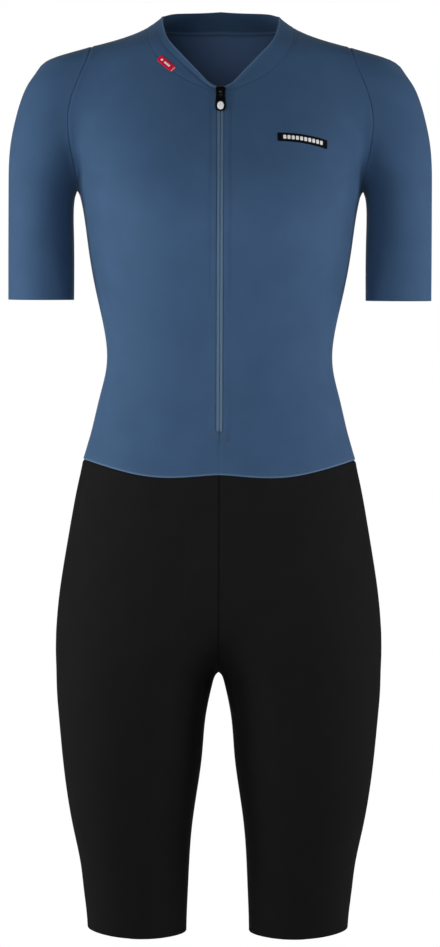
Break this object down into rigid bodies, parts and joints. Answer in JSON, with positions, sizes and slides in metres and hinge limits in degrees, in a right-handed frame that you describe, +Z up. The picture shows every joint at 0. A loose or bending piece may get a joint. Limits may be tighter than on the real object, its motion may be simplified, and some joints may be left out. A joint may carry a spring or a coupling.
{
  "type": "cycling skinsuit",
  "caption": "One-piece cycling skinsuit in its worn, hollow shape: short sleeves, low zipped collar, blue top, black shorts with a seat pad.",
  "frame": {"origin": "midway between the two shoulder points, where the wearer's shoulders hold the suit up", "axes": "+Z up, -Y out of the zipped front, +X to the wearer's left"},
  "size_m": [0.4444, 0.257, 0.9741],
  "materials": {
    "suit_blue": "fine matt warp knit, slate blue",
    "shorts_black": "smooth dense knit with a faint sheen, near black",
    "pad_grey": "brushed stretch fleece over foam, dark grey",
    "zip_tape": "woven polyester tape, slate blue",
    "zip_coil": "coil zip teeth, slate blue",
    "zip_black": "black lacquer, satin",
    "label_black": "flat heat-bonded film, black",
    "tab_red": "dense woven tab, red"
  },
  "bodies": {
    "suit": {"collar": "suit_blue", "front_left": "suit_blue", "front_right": "suit_blue", "back": "suit_blue", "sleeve_left": "suit_blue", "sleeve_right": "suit_blue", "short_front_left": "shorts_black", "short_front_right": "shorts_black", "short_back_left": "shorts_black", "short_back_right": "shorts_black", "chamois_pad": "pad_grey", "zip_tape": "zip_tape", "zip_chain": "zip_coil", "zip_slider": "zip_black", "chest_label": "label_black", "collar_tab": "tab_red"},
    "pull_tab": {"zip_pull": "zip_black"}
  },
  "joints": [
    {"name": "pull_tab_hinge", "type": "hinge", "parent": "suit", "child": "pull_tab", "pos_m": [0, -0.08815, -0.05764], "axis": [-1, 0, 0], "range_deg": [0, 140]}
  ]
}
